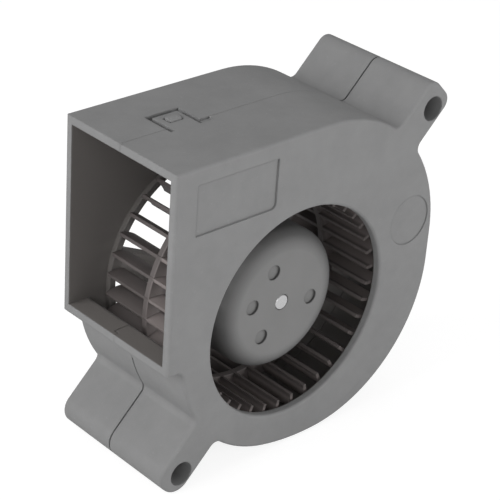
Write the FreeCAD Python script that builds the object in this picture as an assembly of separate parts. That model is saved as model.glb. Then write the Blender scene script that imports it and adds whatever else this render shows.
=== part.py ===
"""A 60 mm DC blower fan with an inlet on each side, as an assembly of separate pieces.

The origin is where the spin axis crosses the face of the front inlet. The axis runs along +Y to the
rear, +Z is up, and the air leaves through the rectangular outlet that faces -X. Sizes are in millimetres.
"""
import FreeCAD
import Part
import math
import os

# Housing: the scroll
depth = 28.0
side_wall = 1.5
scroll_wall = 1.5
outlet_x = -29.0
top_z = 34.2
floor_z = -2.5
cutoff_radius = 25.9
sweep_radius = 45.0
belly_x = 5.4
belly_z = 0.5
belly_radius = 26.9
shoulder_z = 6.2
tongue_radius = 0.9
rim_round = 0.5

# Housing: the inlets, and the collar of the rear one
inlet_radius = 19.75
inlet_round = 0.5
collar_wall = 1.2
collar_depth = 2.6

# Housing: the mounting ears
bore_radius = 2.25
upper_bore = (28.9, 30.8)
lower_bore = (-24.9, -23.0)
ear_near = 2.8
ear_far = 4.3
ear_tip = 3.9
ear_root = 15.0
ear_setback = 1.0
upper_ear_round = 2.2
lower_ear_round = 3.2
ear_slant = 45.0
neck_round = 1.6

# Housing: the seam between the two shells
seam_y = depth / 2
ear_rear = depth - ear_setback
lip_height = 1.0
lip_wall = 0.7
lip_stop = 1.0
seam_clearance = 0.08
seam_slit = 0.25
slit_depth = 0.5
upper_slit_corner = (20.0, 24.0)
lower_slit_corner = (-16.5, -6.9)

# Housing: the snap latches
latch_width = 5.3
latch_length = 4.6
latch_thickness = 0.8
latch_gap = 0.9
latch_root = 1.2
latch_floor_gap = 0.1
latch_reach = 4.0
window_width = 2.9
window_length = 1.9
window_edge = 1.2
nib_clearance = 0.2
nib_rise = 0.45
nib_ramp = 0.4
notch_width = 2.0
notch_depth = 0.35
top_latch_x = -16.1
bottom_latch_x = 9.0
latch_directions = ((0, 0, 1), (1, 0, 0), (0, 0, -1))

# Housing: the shallow marks on the front face
panel_depth = 0.35
panel_x = (-24.6, -7.4)
panel_z = (22.2, 31.2)
panel_round = 1.0
spot_depth = 0.2
spot_radius = 4.7
spot_centre = (26.2, 9.8)

# Housing: the motor base on its three struts
base_front = 21.0
base_thickness = 1.6
base_radius = 13.2
base_chamfer = 1.2
strut_width = 5.0
strut_angles = (48.0, 168.0, 288.0)
strut_foot = 0.5
lead_strut_angle = 288.0
lead_width = 2.6
lead_depth = 1.0
boss_wall = 1.5
boss_end = 24.2

# Impeller
blade_count = 37
blade_outer_radius = 22.4
blade_inner_radius = 18.9
blade_thickness = 0.65
blade_arc_radius = 7.0
blade_tilt = 7.0
blade_first_angle = 4.8
blade_gap = 0.7
mid_ring_front = 13.6
mid_ring_thickness = 1.2
arm_count = 6
arm_width = 2.4
arm_first_angle = 47.0
hub_face = 4.2
hub_wall = 1.1
hub_plate = 1.4
hub_round = 3.0
hub_end = 20.4
dimple_radius = 1.4
dimple_depth = 0.5
dimple_circle = 7.0
dimple_angles = (110.0, 170.0, 232.0, 350.0)

# Rotor: the yoke, the magnet, the bushing and the shaft
yoke_outer_radius = 12.1
yoke_thickness = 0.8
yoke_end = 17.6
magnet_thickness = 1.5
magnet_front = 7.4
magnet_end = 17.2
shaft_radius = 1.5
shaft_end = 22.2
shaft_chamfer = 0.2
bushing_radius = 3.0
bushing_front = 4.8
bushing_flange_radius = 3.8
bushing_flange = 0.8

# Bearings
bearing_radius = 3.5
bearing_width = 3.0
front_bearing_y = 9.4
rear_bearing_y = 17.0
ball_count = 7
ball_radius = 0.595
ball_circle = 2.5
race_clearance = 0.025
inner_race_radius = 2.1
outer_race_radius = 2.9
cage_inner_radius = 2.3
cage_outer_radius = 2.7
cage_half_width = 0.85
pocket_clearance = 0.035
shield_thickness = 0.15
shield_clearance = 0.1

# Rotor: the spring washer, the thrust washer and the retaining ring
spring_radius = 2.6
spring_bore_clearance = 0.1
spring_thickness = 0.15
spring_height = 0.6
washer_radius = 2.1
washer_thickness = 0.25
clip_thickness = 0.4
clip_radius = 2.5
clip_groove = 0.3
clip_clearance = 0.05
clip_opening = 1.4

# Bearing tube and its plug
tube_wall = 0.8
tube_front = 8.9
tube_end = 23.4
tube_step = 0.45
plug_flange = 0.6
plug_clearance = 0.05

# Stator
air_gap = 0.35
pole_count = 4
stack_front = 9.4
stack_end = 15.4
stack_hub_wall = 1.7
pole_neck = 3.0
shoe_thickness = 1.2
shoe_angle = 78.0
insulator_plate = 0.6
insulator_flange = 0.9
insulator_height = 1.3
coil_depth = 1.5
coil_clearance = 0.05
coil_parting = 2.0
pin_size = 0.5
pin_protrusion = 0.6

# Circuit board and its components
board_thickness = 1.0
board_front = 18.6
board_clearance = 0.7
driver_size = (4.0, 1.1, 3.0)
driver_place = (8.0, 2.6)
capacitor_size = (2.0, 1.0, 1.3)
capacitor_place = (-8.4, 3.6)
diode_size = (2.6, 1.0, 1.6)
diode_place = (-8.0, -3.0)
resistor_size = (1.6, 0.5, 0.8)
resistor_places = ((2.4, -9.2), (4.8, -8.2), (-2.2, 9.3))
hall_size = (3.0, 0.9, 1.6)
hall_radius = 10.3
hall_angle = 45.0

# Worked out from the sizes above
hub_radius = yoke_outer_radius + hub_wall
yoke_inner_radius = yoke_outer_radius - yoke_thickness
magnet_inner_radius = yoke_inner_radius - magnet_thickness
stator_radius = magnet_inner_radius - air_gap
pin_circle = stator_radius - shoe_thickness + insulator_flange / 2
tube_radius = bearing_radius + tube_wall
yoke_front = hub_face + hub_plate
board_rear = board_front + board_thickness
base_rear = base_front + base_thickness
blade_front = side_wall + blade_gap
blade_rear = depth - collar_depth - blade_gap
collar_radius = inlet_radius + collar_wall
belly_right = belly_x + belly_radius
shoulder_radius = top_z - shoulder_z
shoulder_x = belly_right - shoulder_radius
washer_y = rear_bearing_y + bearing_width
clip_y = washer_y + washer_thickness + clip_clearance
bushing_end = front_bearing_y - spring_height
past = 1.0

AXIS = FreeCAD.Vector(0, 1, 0)
ORIGIN = FreeCAD.Vector(0, 0, 0)


def point(x, z, y=0.0):
    """A point given by its place in the front face and its depth behind it."""
    return FreeCAD.Vector(x, y, z)


def polar(radius, angle, y=0.0):
    """A point at an angle about the spin axis, in degrees from +X towards +Z."""
    a = math.radians(angle)
    return FreeCAD.Vector(radius * math.cos(a), y, radius * math.sin(a))


def disc(radius, front, rear, x=0.0, z=0.0):
    """A solid cylinder along the depth."""
    return Part.makeCylinder(radius, rear - front, point(x, z, front), AXIS)


def ring(outer, inner, front, rear):
    """A washer or tube about the spin axis."""
    return disc(outer, front, rear).cut(disc(inner, front - past, rear + past))


def block(x0, x1, front, rear, z0, z1):
    """A box by its corners."""
    return Part.makeBox(x1 - x0, rear - front, z1 - z0, FreeCAD.Vector(x0, front, z0))


def turned(shape, angle):
    """A copy turned about the spin axis, positive from +X towards +Z."""
    copy = shape.copy()
    copy.rotate(ORIGIN, AXIS, -angle)
    return copy


def line(a, b):
    """A straight edge."""
    return Part.LineSegment(a, b).toShape()


def arc(a, mid, b):
    """An arc through three points."""
    return Part.Arc(a, mid, b).toShape()


def prism(edges, front, rear):
    """A closed outline in the front face, extruded between two depths."""
    face = Part.Face(Part.Wire(edges))
    face.translate(FreeCAD.Vector(0, front, 0))
    return face.extrude(FreeCAD.Vector(0, rear - front, 0))


def profile_turn(corners):
    """A closed polygon of radius and depth pairs, turned about the spin axis."""
    points = [FreeCAD.Vector(r, y, 0) for r, y in corners]
    points.append(points[0])
    return Part.Face(Part.makePolygon(points)).revolve(ORIGIN, AXIS, 360)


def long_edges(shape, places, reach=0.6):
    """The edges along the depth that pass within reach of the given places in the front face."""
    found = []
    for edge in shape.Edges:
        ends = [v.Point for v in edge.Vertexes]
        if len(ends) != 2 or abs(ends[0].x - ends[1].x) + abs(ends[0].z - ends[1].z) > 1e-6:
            continue
        for x, z in places:
            if math.hypot(ends[0].x - x, ends[0].z - z) < reach:
                found.append(edge)
                break
    return found


def softened_inlet(shell, y):
    """The shell with the outer edge of its inlet rounded."""
    rim = []
    for edge in shell.Edges:
        if edge.Curve.TypeId != "Part::GeomCircle" or abs(edge.Curve.Radius - inlet_radius) > 1e-6:
            continue
        if edge.Curve.Center.distanceToPoint(point(0, 0, y)) < 1e-6:
            rim.append(edge)
    return shell.makeFillet(inlet_round, rim)


def one_solid(shape):
    """The shape with its seams merged, as its single solid."""
    shape = shape.removeSplitter()
    return shape.Solids[0] if len(shape.Solids) == 1 else shape


def sweep_centre():
    """The centre of the wide arc that runs smoothly from the cut-off arc to the belly arc."""
    to_cutoff = sweep_radius - cutoff_radius
    to_belly = sweep_radius - belly_radius
    span = math.hypot(belly_x, belly_z)
    along = (to_cutoff ** 2 - to_belly ** 2 + span ** 2) / (2 * span)
    across = math.sqrt(to_cutoff ** 2 - along ** 2)
    ux = belly_x / span
    uz = belly_z / span
    return along * ux - across * uz, along * uz + across * ux


def on_circle(x, z, radius, angle):
    """A point on a circle in the front face."""
    a = math.radians(angle)
    return point(x + radius * math.cos(a), z + radius * math.sin(a))


def scroll(inset, left, front, rear):
    """The scroll and its outlet duct, drawn inside the outer outline by the inset."""
    cutoff = cutoff_radius - inset
    sweep = sweep_radius - inset
    belly = belly_radius - inset
    shoulder = shoulder_radius - inset
    floor = floor_z + inset
    top = top_z - inset
    sx, sz = sweep_centre()
    leave = math.degrees(math.atan2(-sz, -sx)) + 360
    meet = math.degrees(math.atan2(belly_z - sz, belly_x - sx)) + 360
    start = 180 - math.degrees(math.asin(floor / cutoff))
    a = on_circle(0, 0, cutoff, start)
    b = on_circle(sx, sz, sweep, leave)
    c = on_circle(sx, sz, sweep, meet)
    d = point(belly_x + belly, belly_z)
    e = point(shoulder_x + shoulder, shoulder_z)
    f = point(shoulder_x, top)
    g = point(left, top)
    h = point(left, floor)
    edges = [
        line(h, a),
        arc(a, on_circle(0, 0, cutoff, (start + leave) / 2), b),
        arc(b, on_circle(sx, sz, sweep, (leave + meet) / 2), c),
        arc(c, on_circle(belly_x, belly_z, belly, (meet + 360) / 2), d),
        line(d, e),
        arc(e, on_circle(shoulder_x, shoulder_z, shoulder, 45), f),
        line(f, g),
        line(g, h),
    ]
    return prism(edges, front, rear)


def ear(bore, outward, tip_round, front, rear):
    """A slanted mounting ear, wider on its upper left side, before it joins the scroll."""
    blank = block(-ear_root, ear_tip, front, rear, -ear_near, ear_far)
    tips = ((ear_tip, -ear_near), (ear_tip, ear_far))
    blank = blank.makeFillet(tip_round, long_edges(blank, tips))
    if outward < 0:
        blank = blank.mirror(ORIGIN, FreeCAD.Vector(1, 0, 0))
    blank.rotate(ORIGIN, AXIS, -ear_slant)
    blank.translate(point(*bore))
    return blank


def ear_necks(body, bore, outward, tip_round):
    """The edges along the depth where the sides of an ear meet the scroll."""
    slant = math.radians(ear_slant)
    found = []
    for edge in body.Edges:
        a, b = edge.firstVertex().Point, edge.lastVertex().Point
        if math.hypot(a.x - b.x, a.z - b.z) > 1e-6:
            continue
        x, z = a.x - bore[0], a.z - bore[1]
        along = outward * (x * math.cos(slant) + z * math.sin(slant))
        across = z * math.cos(slant) - x * math.sin(slant)
        on_side = min(abs(across - ear_far), abs(across + ear_near)) < 1e-3
        if on_side and along < ear_tip - tip_round - 1e-3:
            found.append(edge)
    return found


def plain_outline(front, rear):
    """The outline of the blower seen from the front, without the ears."""
    body = scroll(0, outlet_x, front, rear)
    corner = (-math.sqrt(cutoff_radius ** 2 - floor_z ** 2), floor_z)
    return body.makeFillet(neck_round, long_edges(body, (corner,)))


def outline(front, rear):
    """The whole outline of the blower seen from the front, ears and all."""
    body = plain_outline(front, rear)
    body = body.fuse(ear(upper_bore, 1, upper_ear_round, front, rear))
    body = one_solid(body.fuse(ear(lower_bore, -1, lower_ear_round, front, rear)))
    necks = ear_necks(body, upper_bore, 1, upper_ear_round)
    necks += ear_necks(body, lower_bore, -1, lower_ear_round)
    return body.makeFillet(neck_round, necks)


def cavity(inset, left, front, rear):
    """The air space, with the rounded tongue where the scroll meets the outlet floor."""
    space = scroll(inset, left, front, rear)
    floor = floor_z + inset
    tongue_x = -math.sqrt((cutoff_radius - inset) ** 2 - floor ** 2)
    return space.makeFillet(tongue_radius, long_edges(space, ((tongue_x, floor),)))


def rounded_rim(body, y):
    """The body with the edges of its face at this depth rounded."""
    rim = [e for e in body.Edges if all(abs(v.Y - y) < 1e-6 for v in e.Vertexes)]
    return body.makeFillet(rim_round, rim)


def bores(shape):
    """The shape with both mounting bores cut through it."""
    for x, z in (upper_bore, lower_bore):
        shape = shape.cut(disc(bore_radius, -past, depth + past, x, z))
    return shape


def latch_boxes(left, right, front, rear):
    """Boxes across the wall at the top, right and bottom latches, by their sides from each latch's middle."""
    right_z = (belly_z + shoulder_z) / 2
    top = (top_z - latch_reach, top_z + latch_reach)
    side = (belly_right - latch_reach, belly_right + latch_reach)
    bottom = (belly_z - belly_radius - latch_reach, belly_z - belly_radius + latch_reach)
    return (
        block(top_latch_x + left, top_latch_x + right, front, rear, *top),
        block(*side, front, rear, right_z - right, right_z - left),
        block(bottom_latch_x - right, bottom_latch_x - left, front, rear, *bottom),
    )


def wall_skin(rise, thickness, front, rear):
    """The outer skin of the scroll wall, from a rise above its surface down to the given thickness."""
    skin = scroll(-rise, outlet_x, front, rear)
    return skin.cut(scroll(thickness, outlet_x - past, front - past, rear + past))


def latch_straps():
    """The springy straps of the front shell, each with its window."""
    half = latch_width / 2
    end = seam_y + latch_length
    skin = wall_skin(0, latch_thickness, seam_y - past, end)
    window_end = end - window_edge
    window = window_width / 2
    holes = latch_boxes(-window, window, window_end - window_length, window_end)
    places = latch_boxes(-half, half, seam_y - past, end)
    return [skin.common(place).cut(hole) for place, hole in zip(places, holes)]


def latch_slots():
    """What is cut from the rear shell so that the straps lie in it."""
    half = latch_width / 2 + latch_gap
    end = seam_y + latch_length + latch_gap
    skin = wall_skin(0, latch_thickness + latch_floor_gap, seam_y - past, end)
    return [skin.common(place) for place in latch_boxes(-half, half, seam_y - past, end)]


def latch_reliefs():
    """What is cut from the front shell: a slit on each side of a strap's root, and a notch beside it."""
    half = latch_width / 2
    front = seam_y - latch_root
    rear = seam_y + latch_length
    slit = wall_skin(0, latch_thickness + latch_floor_gap, front, rear)
    notch = wall_skin(0, notch_depth, front, seam_y)
    cuts = [slit.common(place) for place in latch_boxes(-half - latch_gap, -half, front, rear)]
    cuts += [slit.common(place) for place in latch_boxes(half, half + latch_gap, front, rear)]
    cuts += [notch.common(place) for place in latch_boxes(half, half + latch_gap + notch_width, front, seam_y)]
    return cuts


def latch_nibs():
    """The ramped nibs of the rear shell that stand in the windows of the straps."""
    window_end = seam_y + latch_length - window_edge
    front = window_end - window_length + nib_clearance
    rear = window_end - nib_clearance
    half = window_width / 2 - nib_clearance
    skin = wall_skin(nib_rise, latch_thickness + 3 * latch_floor_gap, front, rear)
    nibs = []
    for place, outward in zip(latch_boxes(-half, half, front, rear), latch_directions):
        nib = skin.common(place)
        rim = [e for e in nib.Edges if all(abs(v.Y - front) < 1e-6 for v in e.Vertexes)]
        crest = max(rim, key=lambda e: e.CenterOfMass.dot(FreeCAD.Vector(*outward)))
        nibs.append(nib.makeChamfer(nib_ramp, [crest]))
    return nibs


def seam_slits():
    """The narrow gap between the two halves of each ear, which runs a little way along the scroll."""
    front = seam_y - seam_slit
    reach = 2 * ear_root
    x, z = upper_slit_corner
    upper = block(x, x + reach, front, seam_y + past, z, z + reach)
    x, z = lower_slit_corner
    lower = block(x - reach, x, front, seam_y + past, z - reach, z)
    return upper.fuse(lower).cut(scroll(slit_depth, outlet_x, front - past, seam_y + 2 * past))


def panel():
    """The shallow bare panel in the front face, with its inner lower corner rounded."""
    blank = block(panel_x[0], panel_x[1], -past, panel_depth, panel_z[0], panel_z[1])
    return blank.makeFillet(panel_round, long_edges(blank, ((panel_x[1], panel_z[0]),)))


def front_cover():
    """The front shell: half the scroll wall, the front inlet, the lip, the slits and the latch straps."""
    shell = rounded_rim(outline(0, seam_y), 0)
    shell = shell.cut(cavity(scroll_wall, outlet_x - past, side_wall, seam_y + past))
    shell = softened_inlet(shell.cut(disc(inlet_radius, -past, depth)), 0)
    lip = scroll(scroll_wall - lip_wall, outlet_x + lip_stop, seam_y - lip_height, seam_y + lip_height)
    lip = lip.cut(cavity(scroll_wall, outlet_x - past, 0, depth))
    shell = shell.cut(seam_slits()).fuse(lip)
    for strap in latch_straps():
        shell = shell.fuse(strap)
    for relief in latch_reliefs():
        shell = shell.cut(relief)
    shell = shell.cut(panel())
    shell = shell.cut(disc(spot_radius, -past, spot_depth, *spot_centre))
    return one_solid(bores(shell))


def strut():
    """One strut from the motor base out and back to the collar of the rear inlet, along +X."""
    joint = base_radius - base_chamfer
    inner = joint - strut_foot
    clear = hub_radius + strut_foot
    rear_end = depth - collar_depth
    foot = inlet_radius + strut_foot
    corners = (
        (inner, base_front),
        (clear, base_front),
        (blade_inner_radius, rear_end),
        (foot, rear_end),
        (foot, depth),
        (blade_inner_radius, depth),
        (joint, base_rear),
        (inner, base_rear),
    )
    points = [FreeCAD.Vector(r, y, -strut_width / 2) for r, y in corners]
    points.append(points[0])
    return Part.Face(Part.makePolygon(points)).extrude(FreeCAD.Vector(0, 0, strut_width))


def lead_groove():
    """The groove for the leads: down the rear of one strut and across the rear wall to its edge."""
    joint = base_radius - base_chamfer
    start = joint - 2 * strut_foot
    half = lead_width / 2
    corners = (
        (start, base_rear - lead_depth),
        (joint, base_rear - lead_depth),
        (blade_inner_radius, depth - lead_depth),
        (belly_right + past, depth - lead_depth),
        (belly_right + past, depth + past),
        (start, depth + past),
    )
    points = [FreeCAD.Vector(r, y, -half) for r, y in corners]
    points.append(points[0])
    groove = Part.Face(Part.makePolygon(points)).extrude(FreeCAD.Vector(0, 0, lead_width))
    slot = block(start - lead_depth, start, base_front - past, depth, -half, half)
    return groove.fuse(slot)


def motor_base():
    """The round base that carries the bearing tube."""
    boss_radius = tube_radius + boss_wall
    base = profile_turn((
        (tube_radius, board_rear),
        (boss_radius, board_rear),
        (boss_radius, base_front),
        (base_radius, base_front),
        (base_radius, base_rear - base_chamfer),
        (base_radius - base_chamfer, base_rear),
        (boss_radius, base_rear),
        (boss_radius, boss_end),
        (tube_radius, boss_end),
    ))
    return base


def rear_housing():
    """The rear shell: half the scroll wall, the rear inlet, and the motor base on its struts."""
    shell = rounded_rim(plain_outline(seam_y, depth), depth)
    shell = shell.fuse(rounded_rim(outline(seam_y, ear_rear), ear_rear))
    shell = shell.cut(cavity(scroll_wall, outlet_x - past, seam_y - past, depth - side_wall))
    groove_inset = scroll_wall - lip_wall - seam_clearance
    groove_left = outlet_x + lip_stop - seam_clearance
    groove = scroll(groove_inset, groove_left, seam_y - past, seam_y + lip_height + seam_clearance)
    collar = disc(collar_radius, depth - collar_depth, depth - side_wall / 2)
    shell = shell.cut(groove).fuse(collar)
    shell = softened_inlet(shell.cut(disc(inlet_radius, 0, depth + past)), depth)
    for slot in latch_slots():
        shell = shell.cut(slot)
    for nib in latch_nibs():
        shell = shell.fuse(nib)
    shell = shell.fuse(motor_base())
    for angle in strut_angles:
        shell = shell.fuse(turned(strut(), angle))
    shell = shell.cut(turned(lead_groove(), lead_strut_angle))
    return one_solid(bores(shell))


def bearing_tube():
    """The brass tube that holds both bearings, with a step between them."""
    tube = ring(tube_radius, bearing_radius, tube_front, tube_end)
    step = ring(tube_radius, bearing_radius - tube_step, front_bearing_y + bearing_width, rear_bearing_y)
    return one_solid(tube.fuse(step))


def tube_plug():
    """The plug that closes the rear end of the bearing tube."""
    plug = disc(bearing_radius - plug_clearance, shaft_end + plug_flange, tube_end)
    flange = disc(tube_radius - plug_clearance, tube_end, tube_end + plug_flange)
    return one_solid(plug.fuse(flange))


def blade():
    """One forward-curved blade at angle zero, from end to end."""
    tilt = math.radians(blade_tilt)
    across = blade_inner_radius * math.sin(tilt)
    chord = math.sqrt(blade_outer_radius ** 2 - across ** 2) - blade_inner_radius * math.cos(tilt)
    half = math.degrees(math.asin(chord / (2 * blade_arc_radius)))
    back = blade_arc_radius * math.cos(math.radians(half))
    cx = blade_inner_radius + chord / 2 * math.cos(tilt) - back * math.sin(tilt)
    cz = chord / 2 * math.sin(tilt) + back * math.cos(tilt)
    rows = []
    for r in (blade_arc_radius - blade_thickness / 2, blade_arc_radius + blade_thickness / 2):
        rows.append([on_circle(cx, cz, r, 270 + blade_tilt + t) for t in (-half, 0, half)])
    hollow, back_face = rows
    edges = [
        arc(*hollow),
        line(hollow[2], back_face[2]),
        arc(back_face[2], back_face[1], back_face[0]),
        line(back_face[0], hollow[0]),
    ]
    return prism(edges, blade_front, blade_rear)


def impeller():
    """The moulded wheel: hub cup, six arms, mid ring and the blades that pass through the ring."""
    cup = disc(hub_radius, hub_face, hub_end)
    face_edges = [e for e in cup.Edges if len(e.Vertexes) == 1 and abs(e.Vertexes[0].Y - hub_face) < 1e-6]
    cup = cup.makeFillet(hub_round, face_edges)
    cup = cup.cut(disc(yoke_outer_radius, yoke_front, hub_end + past))
    mid_ring_rear = mid_ring_front + mid_ring_thickness
    wheel = ring(blade_outer_radius, blade_inner_radius, mid_ring_front, mid_ring_rear)
    reach = blade_inner_radius + blade_thickness / 2
    half = arm_width / 2
    arm = block(hub_radius - hub_wall / 2, reach, mid_ring_front, mid_ring_rear, -half, half)
    for k in range(arm_count):
        wheel = wheel.fuse(turned(arm, arm_first_angle + k * 360 / arm_count))
    blades = [turned(blade(), blade_first_angle + k * 360 / blade_count) for k in range(blade_count)]
    wheel = wheel.fuse(cup).fuse(blades)
    for angle in dimple_angles:
        centre = polar(dimple_circle, angle)
        wheel = wheel.cut(disc(dimple_radius, hub_face - past, hub_face + dimple_depth, centre.x, centre.z))
    wheel = wheel.cut(bushing_blank())
    wheel = wheel.cut(disc(shaft_radius, hub_face - past, hub_end))
    return one_solid(wheel)


def bushing_blank():
    """The outside of the brass bushing that the hub is moulded round."""
    flange = disc(bushing_flange_radius, bushing_front, bushing_front + bushing_flange)
    return flange.fuse(disc(bushing_radius, bushing_front, bushing_end))


def shaft_bushing():
    """The brass bushing that joins the shaft to the hub and the yoke."""
    return one_solid(bushing_blank().cut(disc(shaft_radius, 0, depth)))


def rotor_yoke():
    """The drawn steel cup that backs the magnet."""
    cup = disc(yoke_outer_radius, yoke_front, yoke_end)
    cup = cup.cut(disc(yoke_inner_radius, yoke_front + yoke_thickness, yoke_end + past))
    return one_solid(cup.cut(disc(bushing_radius, 0, depth)))


def rotor_magnet():
    """The ring magnet inside the yoke."""
    return ring(yoke_inner_radius, magnet_inner_radius, magnet_front, magnet_end)


def shaft():
    """The steel shaft, with the groove that the retaining ring sits in."""
    rod = disc(shaft_radius, hub_face, shaft_end)
    rims = [e for e in rod.Edges if len(e.Vertexes) == 1]
    rod = rod.makeChamfer(shaft_chamfer, rims)
    groove_end = clip_y + clip_thickness + clip_clearance
    groove = ring(shaft_radius + past, shaft_radius - clip_groove, clip_y - clip_clearance, groove_end)
    return one_solid(rod.cut(groove))


def raceway(shape, y):
    """A bearing ring with its ball groove cut into it."""
    middle = point(0, 0, y + bearing_width / 2)
    return shape.cut(Part.makeTorus(ball_circle, ball_radius + race_clearance, middle, AXIS))


def inner_race(y):
    """The inner ring of a bearing."""
    return raceway(ring(inner_race_radius, shaft_radius, y, y + bearing_width), y)


def outer_race(y):
    """The outer ring of a bearing."""
    return raceway(ring(bearing_radius, outer_race_radius, y, y + bearing_width), y)


def balls(y):
    """The balls of a bearing, at rest."""
    middle = y + bearing_width / 2
    centres = [polar(ball_circle, k * 360 / ball_count, middle) for k in range(ball_count)]
    return Part.makeCompound([Part.makeSphere(ball_radius, centre) for centre in centres])


def cage(y):
    """The cage that keeps the balls apart."""
    middle = y + bearing_width / 2
    body = ring(cage_outer_radius, cage_inner_radius, middle - cage_half_width, middle + cage_half_width)
    for k in range(ball_count):
        angle = k * 360 / ball_count
        start = polar(ball_circle / 2, angle, middle)
        body = body.cut(Part.makeCylinder(ball_radius + pocket_clearance, ball_circle, start, polar(1, angle)))
    return one_solid(body)


def shields(y):
    """The two thin shields that close a bearing at its sides."""
    inner = inner_race_radius + shield_clearance
    front = ring(outer_race_radius, inner, y, y + shield_thickness)
    rear = ring(outer_race_radius, inner, y + bearing_width - shield_thickness, y + bearing_width)
    return Part.makeCompound([front, rear])


def spring_washer():
    """The cone-shaped spring washer that presses the front bearing's inner ring away from the bushing."""
    bore = shaft_radius + spring_bore_clearance
    return one_solid(profile_turn((
        (spring_radius, bushing_end),
        (spring_radius, bushing_end + spring_thickness),
        (bore, front_bearing_y),
        (bore, front_bearing_y - spring_thickness),
    )))


def thrust_washer():
    """The washer between the rear bearing and the retaining ring."""
    return ring(washer_radius, shaft_radius, washer_y, washer_y + washer_thickness)


def retaining_ring():
    """The split ring that sits in the groove of the shaft."""
    clip = ring(clip_radius, shaft_radius - clip_groove, clip_y, clip_y + clip_thickness)
    half = clip_opening / 2
    opening = block(0, clip_radius + past, clip_y - past, clip_y + clip_thickness + past, -half, half)
    return one_solid(clip.cut(opening))


def sector(outer, inner, span, front, rear):
    """A piece of a ring, centred on angle zero."""
    half = span / 2
    edges = [
        arc(polar(outer, -half), polar(outer, 0), polar(outer, half)),
        line(polar(outer, half), polar(inner, half)),
        arc(polar(inner, half), polar(inner, 0), polar(inner, -half)),
        line(polar(inner, -half), polar(outer, -half)),
    ]
    return prism(edges, front, rear)


def four_poles(hub_outer, neck, shoe_outer, shoe_inner, front, rear):
    """A hub with four necks and their curved shoes, extruded between two depths."""
    body = disc(hub_outer, front, rear)
    arm = block(0, (shoe_outer + shoe_inner) / 2, front, rear, -neck / 2, neck / 2)
    shoe = sector(shoe_outer, shoe_inner, shoe_angle, front, rear)
    for k in range(pole_count):
        body = body.fuse(turned(arm.fuse(shoe), k * 360 / pole_count))
    return one_solid(body.cut(disc(tube_radius, front - past, rear + past)))


def stator_core():
    """The stack of laminations with its four poles."""
    hub_outer = tube_radius + stack_hub_wall
    shoe_inner = stator_radius - shoe_thickness
    return four_poles(hub_outer, pole_neck, stator_radius, shoe_inner, stack_front, stack_end)


def insulator(front):
    """A moulded end insulator: a plate against the stack, and flanges that hold the coils in."""
    shoe_inner = stator_radius - shoe_thickness
    hub_outer = tube_radius + stack_hub_wall
    plate_rear = front + insulator_plate
    flange_rear = front + insulator_height
    body = four_poles(hub_outer, pole_neck, shoe_inner + insulator_flange, shoe_inner, front, plate_rear)
    body = body.fuse(ring(tube_radius + insulator_flange, tube_radius, front, flange_rear))
    flange = sector(shoe_inner + insulator_flange, shoe_inner, shoe_angle, front, flange_rear)
    for k in range(pole_count):
        body = body.fuse(turned(flange, k * 360 / pole_count))
    return one_solid(body)


def front_insulator():
    """The end insulator that faces the hub."""
    shape = insulator(stack_end).mirror(point(0, 0, (stack_front + stack_end) / 2), AXIS)
    return one_solid(shape)


def coil(angle):
    """One winding round the neck of a pole."""
    inner = tube_radius + stack_hub_wall + coil_clearance
    outer = stator_radius - shoe_thickness - coil_clearance
    half = pole_neck / 2 + coil_clearance
    front = stack_front - insulator_plate - coil_clearance
    rear = stack_end + insulator_plate + coil_clearance
    pad = insulator_height - insulator_plate - coil_clearance
    body = block(inner, outer, front - pad, rear + pad, -half - coil_depth, half + coil_depth)
    body = body.makeFillet(pad, [e for e in body.Edges if abs(e.tangentAt(e.FirstParameter).x) > 0.9])
    body = body.cut(block(inner - past, outer + past, front, rear, -half, half))
    shoe_room = disc(outer, 0, depth).cut(disc(inner, 0, depth))
    wedge = sector(outer + past, tube_radius, 360 / pole_count - coil_parting, front - pad, rear + pad)
    return turned(one_solid(body.common(shoe_room).common(wedge)), angle)


def rear_insulator():
    """The end insulator that faces the board, with the holes that the pins stand in."""
    body = insulator(stack_end)
    for pin in pins():
        body = body.cut(pin)
    return one_solid(body)


def pins():
    """The four pins that join the rear insulator to the board, one at each pole."""
    front = stack_end + insulator_plate
    half = pin_size / 2
    pin = block(pin_circle - half, pin_circle + half, front, board_rear + pin_protrusion, -half, half)
    return [turned(pin, k * 360 / pole_count) for k in range(pole_count)]


def circuit_board():
    """The round board behind the stator."""
    board = ring(yoke_outer_radius - board_clearance, tube_radius, board_front, board_rear)
    for pin in pins():
        board = board.cut(pin)
    return one_solid(board)


def component(size, place, front):
    """A small component body, centred on its place."""
    x, z = place
    width, height, length = size
    return block(x - width / 2, x + width / 2, front, front + height, z - length / 2, z + length / 2)


def hall_sensor():
    """The sensor in front of the board, under the edge of the magnet."""
    body = component(hall_size, (0, hall_radius), board_front - hall_size[1])
    return turned(body, hall_angle - 90)


def save(name, shape):
    """Write one piece to its own file."""
    shape.exportStep("parts/" + name + ".step")


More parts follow.
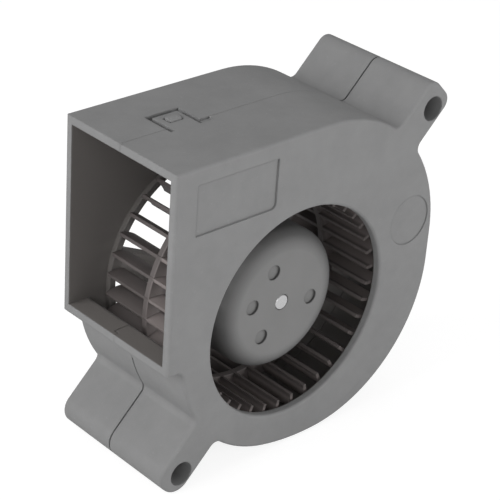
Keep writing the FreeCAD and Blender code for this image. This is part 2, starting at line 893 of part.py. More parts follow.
def main():
    os.makedirs("parts", exist_ok=True)
    save("front_cover", front_cover())
    save("rear_housing", rear_housing())
    save("bearing_tube", bearing_tube())
    save("tube_plug", tube_plug())
    save("impeller", impeller())
    save("rotor_yoke", rotor_yoke())
    save("rotor_magnet", rotor_magnet())
    save("shaft_bushing", shaft_bushing())
    save("shaft", shaft())
    save("spring_washer", spring_washer())
    save("thrust_washer", thrust_washer())
    save("retaining_ring", retaining_ring())
    for side, y in (("front", front_bearing_y), ("rear", rear_bearing_y)):
        save(side + "_bearing_outer_ring", outer_race(y))
        save(side + "_bearing_inner_ring", inner_race(y))
        save(side + "_bearing_balls", balls(y))
        save(side + "_bearing_cage", cage(y))
        save(side + "_bearing_shields", shields(y))
    save("stator_core", stator_core())
    save("front_insulator", front_insulator())
    save("rear_insulator", rear_insulator())
    for k in range(pole_count):
        save("coil_" + str(k + 1), coil(k * 360 / pole_count))
    save("winding_pins", Part.makeCompound(pins()))
    save("circuit_board", circuit_board())
    save("driver_chip", component(driver_size, driver_place, board_rear))
    save("capacitor", component(capacitor_size, capacitor_place, board_rear))
    save("diode", component(diode_size, diode_place, board_rear))
    save("resistors", Part.makeCompound([component(resistor_size, p, board_rear) for p in resistor_places]))
    save("hall_sensor", hall_sensor())


main()
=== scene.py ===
"""The looks of a small double-inlet DC blower: finishes for its CAD nodes, its fine detail, and the studio."""

import math

import bmesh
import bpy
from bpy.props import FloatProperty, FloatVectorProperty, PointerProperty
from mathutils import Matrix, Vector


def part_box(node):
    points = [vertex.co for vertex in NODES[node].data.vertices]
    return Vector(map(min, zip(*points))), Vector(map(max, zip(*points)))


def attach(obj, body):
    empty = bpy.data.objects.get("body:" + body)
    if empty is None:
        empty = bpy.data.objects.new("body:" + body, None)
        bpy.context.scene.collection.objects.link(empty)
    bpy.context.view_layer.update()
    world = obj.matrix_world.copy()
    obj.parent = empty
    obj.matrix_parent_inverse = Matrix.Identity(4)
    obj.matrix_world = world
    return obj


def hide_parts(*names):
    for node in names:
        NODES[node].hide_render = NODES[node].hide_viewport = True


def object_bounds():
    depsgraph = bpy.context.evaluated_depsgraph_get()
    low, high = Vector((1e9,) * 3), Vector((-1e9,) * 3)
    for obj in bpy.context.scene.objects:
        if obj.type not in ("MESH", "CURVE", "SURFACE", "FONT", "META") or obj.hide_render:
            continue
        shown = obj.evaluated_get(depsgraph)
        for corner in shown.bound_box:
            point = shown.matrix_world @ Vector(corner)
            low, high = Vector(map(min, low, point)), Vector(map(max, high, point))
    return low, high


bl_info = {
    "name": "Double-inlet blower",
    "version": (1, 0, 0),
    "blender": (4, 5, 0),
    "location": "View3D > Sidebar > Blower",
    "description": "Finishes, fine detail and studio for a small double-inlet DC blower",
    "category": "Object",
}

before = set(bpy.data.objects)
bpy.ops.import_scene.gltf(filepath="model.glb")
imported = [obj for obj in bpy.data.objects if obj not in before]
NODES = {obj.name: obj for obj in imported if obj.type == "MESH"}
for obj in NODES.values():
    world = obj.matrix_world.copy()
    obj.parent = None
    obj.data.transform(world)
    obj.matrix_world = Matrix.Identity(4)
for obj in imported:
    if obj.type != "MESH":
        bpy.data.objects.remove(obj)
CAD_LOW, CAD_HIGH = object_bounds()

MM = 0.001
WHITE = (1.0, 1.0, 1.0, 1.0)

# The inner outline of the shells, inside which shade is painted: arcs of the scroll as x, z and radius, the duct, and
# the depth between the side walls
INNER_ARCS = ((0.0, 0.0, 24.45 * MM), (5.4 * MM, 0.5 * MM, 25.45 * MM), (4.3 * MM, 6.2 * MM, 26.55 * MM))
INNER_DUCT_X = (-28.9 * MM, 6.0 * MM)
INNER_DUCT_Z = (-1.05 * MM, 32.75 * MM)
MID_DEPTH = 14.0 * MM
INNER_HALF_DEPTH = 12.55 * MM
OUTLINE_BLEND = 0.05 * MM

# The wheel's zones, each from where it begins to where it is full: radii first, then depths behind the front face
DIMPLE_REACH = (8.9 * MM, 9.0 * MM)
HUB_SHOULDER = (9.7 * MM, 12.4 * MM)
HUB_EDGE = (13.25 * MM, 14.2 * MM)
BLADE_INNER_EDGE = (19.3 * MM, 19.9 * MM)
DIMPLE_MOUTH = (4.24 * MM, 4.34 * MM)
DIMPLE_FLOOR = (4.62 * MM, 4.69 * MM)
MID_RING = (13.2 * MM, 14.0 * MM)

# Shares of the hub's or the blades' colour: faint clouds on the hub's face; painted shade on the hub's side, on the
# dimples' walls (less of it on their floors), on the rear blades and on the front blades' inner edges; painted light on
# the front blades' faces
HUB_FACE_TINT = (0.965, 1.03)
HUB_SIDE_SHADE = (0.48, 0.56)
DIMPLE_WALL_SHADE = 0.4
DIMPLE_FLOOR_SHADE = 0.15
REAR_BLADE_SHADE = (0.76, 0.92)
FRONT_BLADE_EDGE_SHADE = 0.8
FRONT_BLADE_FACE_LIGHT = 1.7

# The coils: the first one's range on X, its middle depth, and the depth and width of the winding and its hole
COIL_X = (6.05 * MM, 8.2 * MM)
COIL_Y = 12.4 * MM
COIL_SIZE = (8.6 * MM, 6.1 * MM)
COIL_HOLE = (7.3 * MM, 3.1 * MM)
COIL_CORNER = 1.0 * MM
HOLE_CORNER = 0.3 * MM
TURNS = 10
# One turn's round side: places across the wire, with the share of the winding's size at each
WIRE_PROFILE = ((0.0, 0.974), (0.14, 0.988), (0.5, 1.0), (0.86, 0.988))

# The board's rear face, and what is soldered to it
BOARD_Y = 19.6 * MM
PIN_CIRCLE = 8.7 * MM
SOLDER_STEPS = ((0.52 * MM, 0.0), (0.46 * MM, 0.07 * MM), (0.38 * MM, 0.22 * MM), (0.33 * MM, 0.42 * MM))
SOLDER_SEGMENTS = 16
CHIP_LEADS = tuple((x * MM, z * MM, way) for x in (6.7, 8.0, 9.3) for z, way in ((1.1, -1), (4.1, 1)))
# A lead's route: heights above the board and distances out from the chip's side
LEAD_ROUTE = ((0.6 * MM, -0.1 * MM), (0.6 * MM, 0.14 * MM), (0.12 * MM, 0.24 * MM), (0.12 * MM, 0.5 * MM))
LEAD_WIDTH = 0.4 * MM
LEAD_THICKNESS = 0.12 * MM
END_CAPS = (("capacitor", 0.35 * MM), ("diode", 0.4 * MM))
RESISTORS = ((1.6 * MM, -9.2 * MM), (4.0 * MM, -8.2 * MM), (-3.0 * MM, 9.3 * MM))
RESISTOR_SIZE = (1.6 * MM, 0.5 * MM, 0.8 * MM)
RESISTOR_CAP = 0.3 * MM
CAP_SKIN = 0.03 * MM
CAP_BEVEL = 0.02 * MM

# The lamps: name, place from the aim and side, in metres
LAMPS = (
    ("front", (0.20, -0.44, 0.10), 0.30),
    ("left", (-0.43, 0.10, 0.22), 0.35),
    ("side", (-0.34, -0.30, 0.20), 0.35),
    ("top", (0.05, 0.05, 0.50), 0.40),
)
FLOOR_HALF = 3.0
FLOOR_GAP = 0.02 * MM
FLOOR_GLOW = 0.86
FLOOR_SHADOW_PAINT = (0.26, 0.26, 0.26, 1.0)
FLOOR_PAINT = (0.8, 0.8, 0.8, 1.0)


class HousingSettings(bpy.types.PropertyGroup):
    """The moulded grey plastic of the two shells and the wheel."""
    shell_colour: FloatVectorProperty(
        name="Shell colour", description="Colour of the moulded shells", subtype="COLOR", size=3,
        min=0.0, max=1.0, default=(0.235, 0.235, 0.236))
    # Painted shade: a darker, browner colour given to the inside of the shells
    inner_shade_colour: FloatVectorProperty(
        name="Inner colour", description="Colour of the inside of the shells", subtype="COLOR", size=3,
        min=0.0, max=1.0, default=(0.175, 0.163, 0.155))
    hub_colour: FloatVectorProperty(
        name="Hub colour", description="Colour of the face of the wheel's hub", subtype="COLOR", size=3,
        min=0.0, max=1.0, default=(0.215, 0.214, 0.213))
    # Painted shade: the blades get this darker, browner colour than the hub's grey
    blade_shade_colour: FloatVectorProperty(
        name="Blade colour", description="Colour of the blades and of the sides of the hub", subtype="COLOR", size=3,
        min=0.0, max=1.0, default=(0.146, 0.128, 0.124))
    grain: FloatProperty(
        name="Grain", description="Size of the spark-eroded grain of the mould", subtype="DISTANCE",
        unit="LENGTH", default=0.22 * MM)
    grain_depth: FloatProperty(
        name="Grain depth", description="Strength of the grain's relief", subtype="FACTOR",
        min=0.0, max=1.0, default=0.16)
    roughness: FloatProperty(
        name="Roughness", description="Roughness of the moulded plastic", subtype="FACTOR",
        min=0.0, max=1.0, default=0.58)
    edge_radius: FloatProperty(
        name="Edge radius", description="How far the moulded edges are softened", subtype="DISTANCE",
        unit="LENGTH", default=0.4 * MM)


class StudioSettings(bpy.types.PropertyGroup):
    """The camera at the photograph's angle, the lamps and the floor."""
    azimuth: FloatProperty(
        name="Azimuth", description="Direction that the camera looks in, from +Y towards -X", subtype="ANGLE",
        unit="ROTATION", default=math.radians(-44.17))
    elevation: FloatProperty(
        name="Elevation", description="Height of the camera above the horizon", subtype="ANGLE",
        unit="ROTATION", default=math.radians(28.5))
    roll: FloatProperty(
        name="Roll", description="Lean of the camera about its own line of sight", subtype="ANGLE",
        unit="ROTATION", default=math.radians(4.18))
    distance: FloatProperty(
        name="Distance", description="From the camera to the point it looks at", subtype="DISTANCE",
        unit="LENGTH", default=311.9 * MM)
    aim: FloatVectorProperty(
        name="Aim", description="The point that the camera looks at", subtype="TRANSLATION", unit="LENGTH", size=3,
        default=(1.65 * MM, 14.67 * MM, 5.07 * MM))
    lens: FloatProperty(
        name="Lens", description="Focal length on a 36 mm sensor", subtype="DISTANCE_CAMERA", unit="CAMERA",
        default=127.93)
    sky: FloatProperty(
        name="Sky", description="Strength of the light from all round", min=0.0, default=0.27)
    front_power: FloatProperty(
        name="Front lamp", description="Power of the soft lamp in front", subtype="POWER", unit="POWER", default=1.1)
    left_power: FloatProperty(
        name="Left lamp", description="Power of the soft lamp on the outlet's side", subtype="POWER", unit="POWER",
        default=1.42)
    side_power: FloatProperty(
        name="Side lamp", description="Power of the soft lamp between the front and the outlet's side",
        subtype="POWER", unit="POWER", default=0.45)
    top_power: FloatProperty(
        name="Top lamp", description="Power of the soft lamp above", subtype="POWER", unit="POWER", default=0.4)


def settings():
    """The settings of the housing and the studio."""
    return bpy.context.scene.blower_housing, bpy.context.scene.blower_studio


class Shader:
    """A material's node tree, built from its output back."""

    def __init__(self, name):
        self.material = bpy.data.materials.new(name)
        self.material.use_nodes = True
        self.tree = self.material.node_tree
        self.surface = next(n for n in self.tree.nodes if n.type == "BSDF_PRINCIPLED")
        self.place = self.add("ShaderNodeTexCoord").outputs["Object"]

    def add(self, kind, **values):
        """A node of this kind, with its inputs set or linked by name."""
        node = self.tree.nodes.new(kind)
        for key, value in values.items():
            self.put(node.inputs[key.replace("_", " ")], value)
        return node

    def put(self, socket, value):
        """Sets a socket, or links it where the value is another node's socket."""
        if isinstance(value, bpy.types.NodeSocket):
            self.tree.links.new(value, socket)
        else:
            socket.default_value = value

    def noise(self, size, detail=2.0, roughness=0.5, place=None):
        """Noise whose features are about this size, from 0 to 1."""
        node = self.add("ShaderNodeTexNoise", Vector=place or self.place, Scale=1 / size, Detail=detail,
                        Roughness=roughness)
        return node.outputs["Fac"]

    def ramp(self, value, low, high, to_low=0.0, to_high=1.0):
        """The value carried from one range to another and held at its ends."""
        node = self.add("ShaderNodeMapRange", Value=value)
        node.inputs["From Min"].default_value = low
        node.inputs["From Max"].default_value = high
        node.inputs["To Min"].default_value = to_low
        node.inputs["To Max"].default_value = to_high
        return node.outputs["Result"]

    def spread(self, noise, to_low=0.0, to_high=1.0):
        """Noise carried from the span that it mostly keeps to into a range."""
        return self.ramp(noise, 0.3, 0.7, to_low, to_high)

    def math(self, operation, first, second=0.0):
        """One operation on two values."""
        node = self.tree.nodes.new("ShaderNodeMath")
        node.operation = operation
        self.put(node.inputs[0], first)
        self.put(node.inputs[1], second)
        return node.outputs["Value"]

    def vector(self, operation, first, second=(0, 0, 0)):
        """The value that an operation on two vectors gives."""
        node = self.tree.nodes.new("ShaderNodeVectorMath")
        node.operation = operation
        self.put(node.inputs[0], first)
        self.put(node.inputs[1], second)
        return node.outputs["Value"]

    def mix(self, factor, first, second):
        """A mix of two colours."""
        node = self.tree.nodes.new("ShaderNodeMix")
        node.data_type = "RGBA"
        for name, value in (("Factor", factor), ("A", first), ("B", second)):
            socket = next(s for s in node.inputs if s.name == name and s.enabled)
            self.put(socket, value)
        return next(s for s in node.outputs if s.enabled)

    def bump(self, height, distance, strength=1.0, normal=None):
        """A bump from a height, in metres of relief."""
        node = self.add("ShaderNodeBump", Height=height, Distance=distance, Strength=strength)
        if normal is not None:
            self.put(node.inputs["Normal"], normal)
        return node.outputs["Normal"]

    def finish(self, **values):
        """Sets or links the surface's sockets and gives the material."""
        for key, value in values.items():
            self.put(self.surface.inputs[key.replace("_", " ")], value)
        return self.material


def rgba(colour, factor=1.0):
    """A colour with full alpha, made lighter or darker by a factor."""
    return (colour[0] * factor, colour[1] * factor, colour[2] * factor, 1.0)


def inside_scroll(shader):
    """1 on the inner surfaces of the shells and 0 outside, from the outlines of the duct and the scroll: the mask for
    the painted shade inside.
    """
    parts = shader.add("ShaderNodeSeparateXYZ", Vector=shader.place).outputs
    flat = shader.add("ShaderNodeCombineXYZ", X=parts["X"], Z=parts["Z"]).outputs["Vector"]
    inside = None
    for x, z, radius in INNER_ARCS:
        away = shader.vector("DISTANCE", flat, (x, 0, z))
        disc = shader.ramp(away, radius, radius + OUTLINE_BLEND, 1.0, 0.0)
        inside = disc if inside is None else shader.math("MAXIMUM", inside, disc)
    duct = None
    for axis, low, high in (("X", *INNER_DUCT_X), ("Z", *INNER_DUCT_Z)):
        off = shader.math("ABSOLUTE", shader.math("SUBTRACT", parts[axis], (low + high) / 2))
        slab = shader.ramp(off, (high - low) / 2, (high - low) / 2 + OUTLINE_BLEND, 1.0, 0.0)
        duct = slab if duct is None else shader.math("MULTIPLY", duct, slab)
    deep = shader.math("ABSOLUTE", shader.math("SUBTRACT", parts["Y"], MID_DEPTH))
    slab = shader.ramp(deep, INNER_HALF_DEPTH, INNER_HALF_DEPTH + OUTLINE_BLEND, 1.0, 0.0)
    return shader.math("MULTIPLY", shader.math("MAXIMUM", inside, duct), slab)


def moulded(name, colour, inner, grain, depth, roughness, edge):
    """Moulded plastic: a fine eroded grain, faint flow clouds, soft edges and slightly uneven gloss, with painted shade
    in a darker, browner colour on the inner surfaces.
    """
    shader = Shader(name)
    clouds = shader.noise(9 * MM, detail=3.0)
    fine = shader.noise(grain, detail=3.0, roughness=0.6)
    specks = shader.noise(grain * 3.4, detail=1.0)
    mottle = shader.math("ADD", shader.math("MULTIPLY", clouds, 0.6),
                         shader.math("MULTIPLY", shader.noise(2.2 * MM, detail=4.0, roughness=0.6), 0.4))
    shade = shader.mix(shader.ramp(mottle, 0.35, 0.65), rgba(colour, 0.95), rgba(colour, 1.05))
    shade = shader.mix(shader.ramp(specks, 0.68, 0.8, 0.0, 0.35), shade, rgba(colour, 1.22))
    # Painted shade: the inner surfaces of the shells take the darker, browner inner colour
    shade = shader.mix(inside_scroll(shader), shade, rgba(inner))
    gloss = shader.spread(fine, roughness - 0.05, roughness + 0.07)
    edges = shader.add("ShaderNodeBevel", Radius=edge)
    relief = shader.bump(fine, grain * 0.3, depth, edges.outputs["Normal"])
    return shader.finish(Base_Color=shade, Roughness=gloss, Normal=relief, Specular_IOR_Level=0.42)


def turned_metal(name, colour, roughness, grain=0.05 * MM):
    """Ground or turned metal with fine rings about the spin axis."""
    shader = Shader(name)
    stretch = shader.add("ShaderNodeMapping", Vector=shader.place)
    stretch.inputs["Scale"].default_value = (1.0, 12.0, 1.0)
    rings = shader.noise(grain * 4, detail=2.0, place=stretch.outputs["Vector"])
    shade = shader.mix(shader.spread(rings), rgba(colour, 0.93), rgba(colour, 1.05))
    gloss = shader.spread(rings, roughness * 0.8, roughness * 1.25)
    return shader.finish(Base_Color=shade, Metallic=1.0, Roughness=gloss,
                         Normal=shader.bump(rings, grain * 0.08, 0.3))


def plain_part(name, colour, roughness, grain=0.2 * MM, metallic=0.0, variation=0.08, depth=0.2):
    """A small inner part with a little variation in its colour and surface."""
    shader = Shader(name)
    fine = shader.noise(grain, detail=2.0)
    shade = shader.mix(shader.spread(fine), rgba(colour, 1 - variation), rgba(colour, 1 + variation))
    gloss = shader.spread(fine, roughness * 0.85, min(1.0, roughness * 1.15))
    return shader.finish(Base_Color=shade, Roughness=gloss, Metallic=metallic,
                         Normal=shader.bump(fine, grain * 0.2, depth))


def layered(name, colour, sheet, roughness):
    """Laminations: thin steel sheets seen at their edges, stacked along the spin axis."""
    shader = Shader(name)
    along = shader.add("ShaderNodeSeparateXYZ", Vector=shader.place).outputs["Y"]
    edge = shader.ramp(shader.math("PINGPONG", along, sheet / 2), 0.0, sheet * 0.12)
    shade = shader.mix(edge, rgba(colour, 0.25), rgba(colour))
    return shader.finish(Base_Color=shade, Metallic=0.9, Roughness=roughness,
                         Normal=shader.bump(edge, sheet * 0.1, 0.8))


def dress(material, *names):
    """Gives a material to CAD nodes."""
    for name in names:
        mesh = NODES[name].data
        mesh.materials.clear()
        mesh.materials.append(material)


def wheel_plastic(housing):
    """The wheel's moulding: grey on the hub's face, with painted shade on its side, its dimples and the blades, and
    painted light on the front blades' faces.
    """
    shader = Shader("wheel plastic")
    parts = shader.add("ShaderNodeSeparateXYZ", Vector=shader.place).outputs
    flat = shader.add("ShaderNodeCombineXYZ", X=parts["X"], Z=parts["Z"]).outputs["Vector"]
    radius = shader.vector("LENGTH", flat)
    clouds = shader.noise(7 * MM, detail=3.0)
    fine = shader.noise(housing.grain, detail=3.0, roughness=0.6)
    cloudy = shader.spread(clouds)
    # The blade colour, darker and browner than the hub's grey, is painted shade
    hub_grey, shaded_blade_base = housing.hub_colour, housing.blade_shade_colour
    hub = shader.mix(cloudy, *[rgba(hub_grey, share) for share in HUB_FACE_TINT])
    # Painted shade on the hub's side, the rear blades, the front blades' inner edges and the dimples; painted light on
    # the front blades' faces
    side = shader.mix(cloudy, *[rgba(hub_grey, share) for share in HUB_SIDE_SHADE])
    rear_blades = shader.mix(cloudy, *[rgba(shaded_blade_base, share) for share in REAR_BLADE_SHADE])
    front_blades = shader.mix(shader.ramp(radius, *BLADE_INNER_EDGE), rgba(shaded_blade_base, FRONT_BLADE_EDGE_SHADE),
                              rgba(shaded_blade_base, FRONT_BLADE_FACE_LIGHT))
    blades = shader.mix(shader.ramp(parts["Y"], *MID_RING, 1.0, 0.0), rear_blades, front_blades)
    wall = shader.math("MULTIPLY", shader.ramp(parts["Y"], *DIMPLE_MOUTH),
                       shader.ramp(parts["Y"], *DIMPLE_FLOOR, 1.0, DIMPLE_FLOOR_SHADE))
    dimple = shader.math("MULTIPLY", shader.ramp(radius, *DIMPLE_REACH, 1.0, 0.0), wall)
    hub = shader.mix(dimple, hub, rgba(hub_grey, DIMPLE_WALL_SHADE))
    hub = shader.mix(shader.ramp(radius, *HUB_SHOULDER), hub, side)
    shade = shader.mix(shader.ramp(radius, *HUB_EDGE), hub, blades)
    gloss = shader.spread(fine, housing.roughness - 0.04, housing.roughness + 0.08)
    edges = shader.add("ShaderNodeBevel", Radius=housing.edge_radius * 0.6)
    relief = shader.bump(fine, housing.grain * 0.3, housing.grain_depth * 0.6, edges.outputs["Normal"])
    return shader.finish(Base_Color=shade, Roughness=gloss, Normal=relief, Specular_IOR_Level=0.4)


def order_by_place(shape):
    """Puts points and faces in an order that only their places decide, so that each run writes the same mesh."""
    for rank, vert in enumerate(sorted(shape.verts, key=lambda v: tuple(v.co))):
        vert.index = rank
    shape.verts.sort()
    for rank, face in enumerate(sorted(shape.faces, key=lambda f: sorted(v.index for v in f.verts))):
        face.index = rank
    shape.faces.sort()


def add_piece(name, shape, material, slot, *replaced):
    """Makes a piece of the housing's body from a bmesh."""
    bmesh.ops.recalc_face_normals(shape, faces=shape.faces)
    order_by_place(shape)
    mesh = bpy.data.meshes.new(name)
    shape.to_mesh(mesh)
    shape.free()
    mesh.materials.append(material)
    piece = bpy.data.objects.new(name, mesh)
    bpy.context.collection.objects.link(piece)
    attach(piece, "housing")
    if replaced:
        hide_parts(*replaced)
    return piece


def pulled(shape, edges):
    """Extrudes edges in place. Gives their new points, the new edges at the end, and the faces between."""
    made = bmesh.ops.extrude_edge_only(shape, edges=edges)["geom"]
    verts = [v for v in made if isinstance(v, bmesh.types.BMVert)]
    new = set(verts)
    ends = [e for e in made if isinstance(e, bmesh.types.BMEdge) and new.issuperset(e.verts)]
    return verts, ends, [f for f in made if isinstance(f, bmesh.types.BMFace)]


def rounded_tube(shape, size, corner, rings):
    """A tube of rounded rectangles across X; each ring is a place on X and a share of the size. Gives its open ends."""
    start, share = rings[0]
    across_x = Matrix(((0, 0, 1), (1, 0, 0), (0, 1, 0)))
    corners = bmesh.ops.create_grid(shape, x_segments=1, y_segments=1, size=0.5)["verts"]
    bmesh.ops.scale(shape, verts=corners, vec=(size[0] * share, size[1] * share, 1.0))
    bmesh.ops.rotate(shape, verts=corners, cent=(0, 0, 0), matrix=across_x)
    bmesh.ops.translate(shape, verts=corners, vec=(start, 0, 0))
    bmesh.ops.bevel(shape, geom=corners, affect="VERTICES", offset=corner, offset_type="OFFSET", segments=4,
                    profile=0.5, material=-1)
    face = next(f for f in shape.faces if len(f.verts) > 4)
    first = loop = list(face.edges)
    bmesh.ops.delete(shape, geom=[face], context="FACES_ONLY")
    for (near, before), (far, after) in zip(rings, rings[1:]):
        verts, loop, _ = pulled(shape, loop)
        bmesh.ops.translate(shape, verts=verts, vec=(far - near, 0, 0))
        bmesh.ops.scale(shape, verts=verts, vec=(1.0, after / before, after / before))
    return first, loop


def winding(angle):
    """One coil: ten turns of round wire side by side on the insulator of a pole."""
    shape = bmesh.new()
    low, high = COIL_X
    wire = (high - low) / TURNS
    rings = [(low + (turn + across) * wire, share) for turn in range(TURNS) for across, share in WIRE_PROFILE]
    rings.append((high, WIRE_PROFILE[0][1]))
    outer = rounded_tube(shape, COIL_SIZE, COIL_CORNER, rings)
    inner = rounded_tube(shape, COIL_HOLE, HOLE_CORNER, [(low, 1.0), (high, 1.0)])
    for wide, narrow in zip(outer, inner):
        bmesh.ops.bridge_loops(shape, edges=wide + narrow)
    bmesh.ops.translate(shape, verts=shape.verts, vec=(0, COIL_Y, 0))
    bmesh.ops.rotate(shape, verts=shape.verts, cent=(0, 0, 0), matrix=Matrix.Rotation(-angle, 3, "Y"))
    return shape


def bevelled_block(shape, low, high, radius):
    """A block between two corners with its edges bevelled."""
    size = [b - a for a, b in zip(low, high)]
    centre = [(a + b) / 2 for a, b in zip(low, high)]
    verts = bmesh.ops.create_cube(shape, size=1.0)["verts"]
    bmesh.ops.scale(shape, verts=verts, vec=size)
    bmesh.ops.translate(shape, verts=verts, vec=centre)
    edges = {e for v in verts for e in v.link_edges}
    bmesh.ops.bevel(shape, geom=list(edges), affect="EDGES", offset=radius, segments=2, profile=0.5, material=-1)


def chip_lead(shape, x, z, way):
    """A lead that leaves the chip's side half-way up, bends down and stands on the board with a short foot."""
    height, out = LEAD_ROUTE[0]
    ends = [shape.verts.new((x + side * LEAD_WIDTH / 2, BOARD_Y + height, z + way * out)) for side in (-1, 1)]
    edges = [shape.edges.new(ends)]
    strip = []
    for (height, out), (next_height, next_out) in zip(LEAD_ROUTE, LEAD_ROUTE[1:]):
        verts, edges, faces = pulled(shape, edges)
        strip += faces
        bmesh.ops.translate(shape, verts=verts, vec=(0, next_height - height, way * (next_out - out)))
    bmesh.ops.recalc_face_normals(shape, faces=strip)
    bmesh.ops.solidify(shape, geom=strip, thickness=LEAD_THICKNESS)


def solder_joint(shape, x, z):
    """A cone of solder that climbs a pin from the board."""
    ring = bmesh.ops.create_circle(shape, cap_ends=True, segments=SOLDER_SEGMENTS,
                                   radius=SOLDER_STEPS[0][0])["verts"]
    bmesh.ops.rotate(shape, verts=ring, cent=(0, 0, 0), matrix=Matrix.Rotation(math.radians(-90), 3, "X"))
    bmesh.ops.translate(shape, verts=ring, vec=(x, BOARD_Y, z))
    edges = list({e for v in ring for e in v.link_edges})
    for (wide, low), (narrow, high) in zip(SOLDER_STEPS, SOLDER_STEPS[1:]):
        verts, edges, _ = pulled(shape, edges)
        space = Matrix.Translation((-x, -BOARD_Y - low, -z))
        bmesh.ops.scale(shape, verts=verts, vec=(narrow / wide, 1.0, narrow / wide), space=space)
        bmesh.ops.translate(shape, verts=verts, vec=(0, high - low, 0))
    bmesh.ops.contextual_create(shape, geom=edges)


class BLOWER_OT_coils(bpy.types.Operator):
    """Wind the four coils with round wire"""
    bl_idname = "blower.coils"
    bl_label = "Coils"

    def execute(self, context):
        copper = plain_part("enamelled copper", (0.62, 0.24, 0.09), 0.3, metallic=1.0, variation=0.15, depth=0.1)
        for number in range(4):
            node = "coil_" + str(number + 1)
            add_piece("winding_" + str(number + 1), winding(math.radians(90 * number)), copper, "copper_wire", node)
        return {"FINISHED"}


class BLOWER_OT_board_detail(bpy.types.Operator):
    """Add the chip's leads, the end caps of the small components and the solder on the pins"""
    bl_idname = "blower.board_detail"
    bl_label = "Board detail"

    def execute(self, context):
        tin = plain_part("solder and tinned leads", (0.70, 0.70, 0.69), 0.32, metallic=1.0, variation=0.05)
        shape = bmesh.new()
        for x, z, way in CHIP_LEADS:
            chip_lead(shape, x, z, way)
        add_piece("chip_leads", shape, tin, "bearing_steel")
        shape = bmesh.new()
        for node, length in END_CAPS:
            low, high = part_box(node)
            for left, right in ((low[0] - CAP_SKIN, low[0] + length), (high[0] - length, high[0] + CAP_SKIN)):
                bevelled_block(shape, (left, low[1], low[2] - CAP_SKIN),
                               (right, high[1] + CAP_SKIN, high[2] + CAP_SKIN), CAP_BEVEL)
        size_x, size_y, size_z = RESISTOR_SIZE
        for low, z in RESISTORS:
            for x, way in ((low, 1), (low + size_x, -1)):
                left, right = sorted((x - way * CAP_SKIN, x + way * RESISTOR_CAP))
                bevelled_block(shape, (left, BOARD_Y, z - size_z / 2 - CAP_SKIN),
                               (right, BOARD_Y + size_y + CAP_SKIN, z + size_z / 2 + CAP_SKIN), CAP_BEVEL)
        add_piece("component_ends", shape, tin, "bearing_steel")
        shape = bmesh.new()
        for x, z in ((PIN_CIRCLE, 0), (0, PIN_CIRCLE), (-PIN_CIRCLE, 0), (0, -PIN_CIRCLE)):
            solder_joint(shape, x, z)
        add_piece("solder_joints", shape, tin, "bearing_steel")
        return {"FINISHED"}


class BLOWER_OT_shells(bpy.types.Operator):
    """Finish the two shells of the scroll housing"""
    bl_idname = "blower.shells"
    bl_label = "Shells"

    def execute(self, context):
        housing, _ = settings()
        plastic = moulded("shell plastic", housing.shell_colour, housing.inner_shade_colour, housing.grain,
                          housing.grain_depth, housing.roughness, housing.edge_radius)
        dress(plastic, "front_cover", "rear_housing")
        return {"FINISHED"}


class BLOWER_OT_wheel(bpy.types.Operator):
    """Finish the wheel with its hub and blades"""
    bl_idname = "blower.wheel"
    bl_label = "Wheel"

    def execute(self, context):
        housing, _ = settings()
        dress(wheel_plastic(housing), "impeller")
        return {"FINISHED"}


class BLOWER_OT_motor(bpy.types.Operator):
    """Finish the rotor, the stator and the board"""
    bl_idname = "blower.motor"
    bl_label = "Motor"

    def execute(self, context):
        dress(turned_metal("drawn yoke steel", (0.55, 0.56, 0.58), 0.38), "rotor_yoke")
        dress(plain_part("bonded magnet", (0.045, 0.045, 0.05), 0.6, depth=0.4), "rotor_magnet")
        dress(layered("lamination steel", (0.42, 0.43, 0.45), 0.5 * MM, 0.45), "stator_core")
        dress(plain_part("natural nylon", (0.78, 0.76, 0.68), 0.5), "front_insulator", "rear_insulator")
        dress(plain_part("green board", (0.03, 0.16, 0.07), 0.3, variation=0.12, depth=0.1), "circuit_board")
        dress(plain_part("black moulding", (0.02, 0.02, 0.022), 0.55), "driver_chip", "diode", "resistors",
              "hall_sensor")
        dress(plain_part("fired ceramic", (0.42, 0.30, 0.18), 0.4), "capacitor")
        dress(plain_part("tinned pins", (0.72, 0.72, 0.70), 0.3, metallic=1.0), "winding_pins")
        return {"FINISHED"}


class BLOWER_OT_bearings(bpy.types.Operator):
    """Finish the shaft, the bearings and what holds them"""
    bl_idname = "blower.bearings"
    bl_label = "Shaft and bearings"

    def execute(self, context):
        dress(turned_metal("ground shaft steel", (0.86, 0.86, 0.87), 0.22), "shaft")
        dress(turned_metal("turned brass", (0.80, 0.58, 0.26), 0.3), "shaft_bushing", "bearing_tube")
        steel = turned_metal("bearing steel", (0.70, 0.71, 0.73), 0.18)
        nylon = plain_part("cage nylon", (0.42, 0.20, 0.08), 0.5)
        for side in ("front", "rear"):
            dress(steel, *[side + "_bearing_" + part for part in ("outer_ring", "inner_ring", "balls", "shields")])
            dress(nylon, side + "_bearing_cage")
        dress(plain_part("spring steel", (0.60, 0.61, 0.63), 0.3, metallic=1.0), "spring_washer", "thrust_washer",
              "retaining_ring")
        dress(plain_part("black rubber", (0.02, 0.02, 0.02), 0.7, depth=0.5), "tube_plug")
        return {"FINISHED"}


def soft_lamp(name, place, target, power, size):
    """A square soft lamp that shines from its place at the target."""
    data = bpy.data.lights.new(name, "AREA")
    data.energy = power
    data.size = size
    lamp = bpy.data.objects.new(name, data)
    lamp.location = place
    lamp.rotation_euler = (Vector(target) - Vector(place)).to_track_quat("-Z", "Y").to_euler()
    bpy.context.collection.objects.link(lamp)
    return lamp


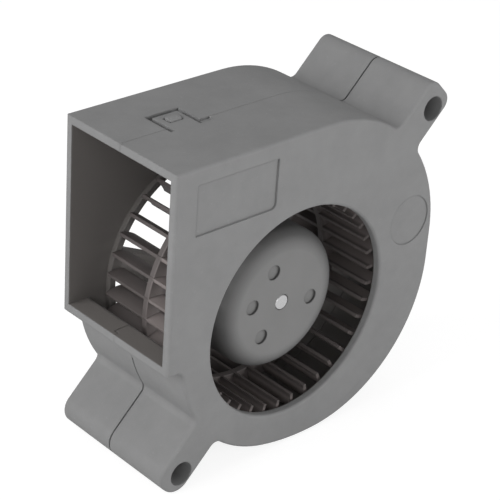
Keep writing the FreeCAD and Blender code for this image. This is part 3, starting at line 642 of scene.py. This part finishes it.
class BLOWER_OT_stage(bpy.types.Operator):
    """Set up the floor, the sky, the lamps and the camera"""
    bl_idname = "blower.stage"
    bl_label = "Stage"

    def execute(self, context):
        _, studio = settings()
        scene = context.scene
        scene.view_settings.view_transform = "Standard"
        self.floor()
        self.sky(scene, studio)
        aim = Vector(studio.aim)
        for name, offset, side in LAMPS:
            soft_lamp(name + " lamp", aim + Vector(offset), aim, getattr(studio, name + "_power"), side)
        self.camera(scene, studio)
        return {"FINISHED"}

    def floor(self):
        """A plain white floor that keeps the shadow and shows white to the camera elsewhere."""
        mesh = bpy.data.meshes.new("floor")
        shape = bmesh.new()
        bmesh.ops.create_grid(shape, x_segments=1, y_segments=1, size=FLOOR_HALF)
        bmesh.ops.translate(shape, verts=shape.verts, vec=(0, 0, CAD_LOW[2] - FLOOR_GAP))
        shape.to_mesh(mesh)
        shape.free()
        floor = bpy.data.objects.new("floor", mesh)
        bpy.context.collection.objects.link(floor)
        shader = Shader("floor white")
        seen = shader.add("ShaderNodeLightPath").outputs["Is Camera Ray"]
        glow = shader.add("ShaderNodeEmission", Color=WHITE, Strength=FLOOR_GLOW)
        shadowed = shader.add("ShaderNodeBsdfDiffuse", Color=FLOOR_SHADOW_PAINT)
        both = shader.add("ShaderNodeAddShader")
        plain = shader.add("ShaderNodeBsdfDiffuse", Color=FLOOR_PAINT)
        pick = shader.add("ShaderNodeMixShader")
        out = next(n for n in shader.tree.nodes if n.type == "OUTPUT_MATERIAL")
        for source, socket in (
            (glow.outputs[0], both.inputs[0]), (shadowed.outputs[0], both.inputs[1]), (seen, pick.inputs[0]),
            (plain.outputs[0], pick.inputs[1]), (both.outputs[0], pick.inputs[2]),
            (pick.outputs[0], out.inputs["Surface"]),
        ):
            shader.put(socket, source)
        mesh.materials.append(shader.material)

    def sky(self, scene, studio):
        """A white sky, at full white where the camera sees it and dimmer as a light."""
        world = bpy.data.worlds.new("studio sky")
        world.use_nodes = True
        scene.world = world
        tree = world.node_tree
        paths = tree.nodes.new("ShaderNodeLightPath")
        level = tree.nodes.new("ShaderNodeMapRange")
        level.inputs["To Min"].default_value = studio.sky
        level.inputs["To Max"].default_value = 1.0
        tree.links.new(paths.outputs["Is Camera Ray"], level.inputs["Value"])
        tree.links.new(level.outputs["Result"], tree.nodes["Background"].inputs["Strength"])
        tree.nodes["Background"].inputs["Color"].default_value = WHITE

    def camera(self, scene, studio):
        """The camera, at the angle and distance of the photograph."""
        look = Vector((
            -math.sin(studio.azimuth) * math.cos(studio.elevation),
            math.cos(studio.azimuth) * math.cos(studio.elevation),
            -math.sin(studio.elevation),
        ))
        data = bpy.data.cameras.new("camera")
        data.lens = studio.lens
        data.sensor_width = 36.0
        data.clip_start = 0.01
        camera = bpy.data.objects.new("camera", data)
        turn = look.to_track_quat("-Z", "Y").to_matrix() @ Matrix.Rotation(studio.roll, 3, "Z")
        camera.matrix_world = Matrix.Translation(Vector(studio.aim) - look * studio.distance) @ turn.to_4x4()
        bpy.context.collection.objects.link(camera)
        scene.camera = camera


class BLOWER_PT_panel(bpy.types.Panel):
    """The blower's pieces and settings"""
    bl_idname = "BLOWER_PT_panel"
    bl_label = "Blower"
    bl_space_type = "VIEW_3D"
    bl_region_type = "UI"
    bl_category = "Blower"

    def draw(self, context):
        housing, studio = settings()
        for group in (housing, studio):
            box = self.layout.box()
            for name in group.__annotations__:
                box.prop(group, name)
        for operator in OPERATORS:
            self.layout.operator(operator.bl_idname)


OPERATORS = (BLOWER_OT_shells, BLOWER_OT_wheel, BLOWER_OT_motor, BLOWER_OT_coils, BLOWER_OT_board_detail,
             BLOWER_OT_bearings, BLOWER_OT_stage)
CLASSES = (HousingSettings, StudioSettings) + OPERATORS + (BLOWER_PT_panel,)


def register():
    for cls in CLASSES:
        bpy.utils.register_class(cls)
    bpy.types.Scene.blower_housing = PointerProperty(type=HousingSettings)
    bpy.types.Scene.blower_studio = PointerProperty(type=StudioSettings)


def unregister():
    del bpy.types.Scene.blower_studio
    del bpy.types.Scene.blower_housing
    for cls in reversed(CLASSES):
        bpy.utils.unregister_class(cls)


def main():
    register()
    bpy.ops.blower.shells()
    bpy.ops.blower.wheel()
    bpy.ops.blower.motor()
    bpy.ops.blower.coils()
    bpy.ops.blower.board_detail()
    bpy.ops.blower.bearings()
    bpy.ops.blower.stage()


if __name__ == "__main__":
    main()
